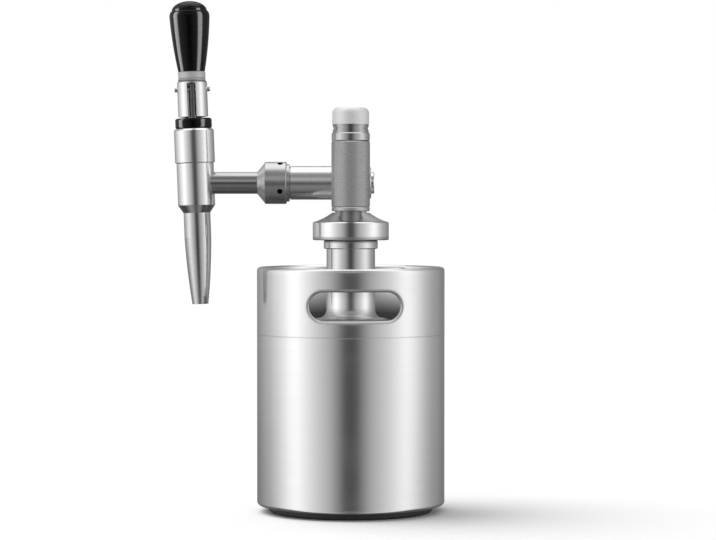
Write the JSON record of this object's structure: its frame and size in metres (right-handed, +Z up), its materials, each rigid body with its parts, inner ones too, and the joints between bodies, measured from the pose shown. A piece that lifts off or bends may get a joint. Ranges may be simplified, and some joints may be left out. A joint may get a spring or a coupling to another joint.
{
  "type": "nitro cold brew keg",
  "caption": "Small steel keg with a hand-slot collar, screw cap, gas charger holder and a stout tap on a side arm: keeps coffee under gas pressure and pours it",
  "frame": {"origin": "on the keg's axis, on the table under the foot ring", "axes": "+Z up; the tap hangs over -X; the charger holder stands in front, towards -Y, where the viewer is"},
  "size_m": [0.1984, 0.135, 0.3675],
  "materials": {
    "keg_steel": "fine satin, brushed round the keg",
    "polished_steel": "turned and polished",
    "nut_steel": "darker satin",
    "knurled_metal": "matt diamond knurl",
    "charger_steel": "drawn steel",
    "black_rubber": "matt",
    "black_plastic": "high gloss",
    "white_plastic": "matt"
  },
  "bodies": {
    "keg": {"foot_ring": "black_rubber", "keg_base": "keg_steel", "keg_wall": "keg_steel", "keg_dome": "keg_steel", "keg_neck": "polished_steel", "handle_collar": "keg_steel"},
    "head": {"cap": "polished_steel", "cap_gasket": "black_rubber", "gas_post": "polished_steel", "piercing_pin": "polished_steel", "charger_seal": "black_rubber", "check_flap": "black_rubber", "arm": "polished_steel", "arm_seal": "black_rubber", "dip_tube": "polished_steel", "vent_bush": "polished_steel", "vent_spring": "polished_steel", "collar_nut": "nut_steel", "shank": "polished_steel", "shank_washer": "black_rubber", "faucet_body": "polished_steel", "bonnet": "polished_steel", "cam_ring": "black_plastic", "stem_packing": "black_rubber", "valve_seat": "white_plastic", "restrictor_plate": "polished_steel", "flow_straightener": "white_plastic", "nozzle": "polished_steel"},
    "vent": {"vent_button": "polished_steel", "vent_poppet": "polished_steel", "vent_washer": "black_rubber"},
    "valve": {"valve_stem": "polished_steel", "valve_plug": "black_rubber"},
    "lever": {"lever_yoke": "polished_steel", "pivot_pin": "polished_steel", "ferrule": "polished_steel", "handle_knob": "black_plastic"},
    "charger": {"charger": "charger_steel"},
    "holder": {"holder_sleeve": "polished_steel", "holder_grip": "knurled_metal", "holder_cap": "polished_steel", "holder_pad": "black_rubber"}
  },
  "joints": [
    {"name": "head_lift", "type": "slide", "parent": "keg", "child": "head", "axis": [0, 0, 1], "range_m": [0, 0.2]},
    {"name": "charger_rise", "type": "slide", "parent": "head", "child": "charger", "axis": [0, 0, 1], "range_m": [0, 0.012]},
    {"name": "holder_turn", "type": "hinge", "parent": "charger", "child": "holder", "pos_m": [0, -0.0175, 0.216], "axis": [0, 0, 1], "range_deg": [0, 2880.5]},
    {"name": "stem_lift", "type": "slide", "parent": "head", "child": "valve", "axis": [-0.0366, 0, 0.9993], "range_m": [0, 0.0024]},
    {"name": "lever_pull", "type": "hinge", "parent": "valve", "child": "lever", "pos_m": [-0.11447, 0.01, 0.30385], "axis": [0.9993, 0, 0.0366], "range_deg": [0, 25]},
    {"name": "vent_press", "type": "slide", "parent": "head", "child": "vent", "axis": [-1, 0, 0], "range_m": [0, 0.0014], "stiffness_N_per_m": 800, "springref_m": -0.002, "deforming": ["vent_spring"]}
  ],
  "couplings": [
    {"joint": "holder_turn", "follows": "charger_rise", "rad_per_m": 4188.8},
    {"joint": "lever_pull", "follows": "stem_lift", "rad_per_m": 181.8}
  ]
}
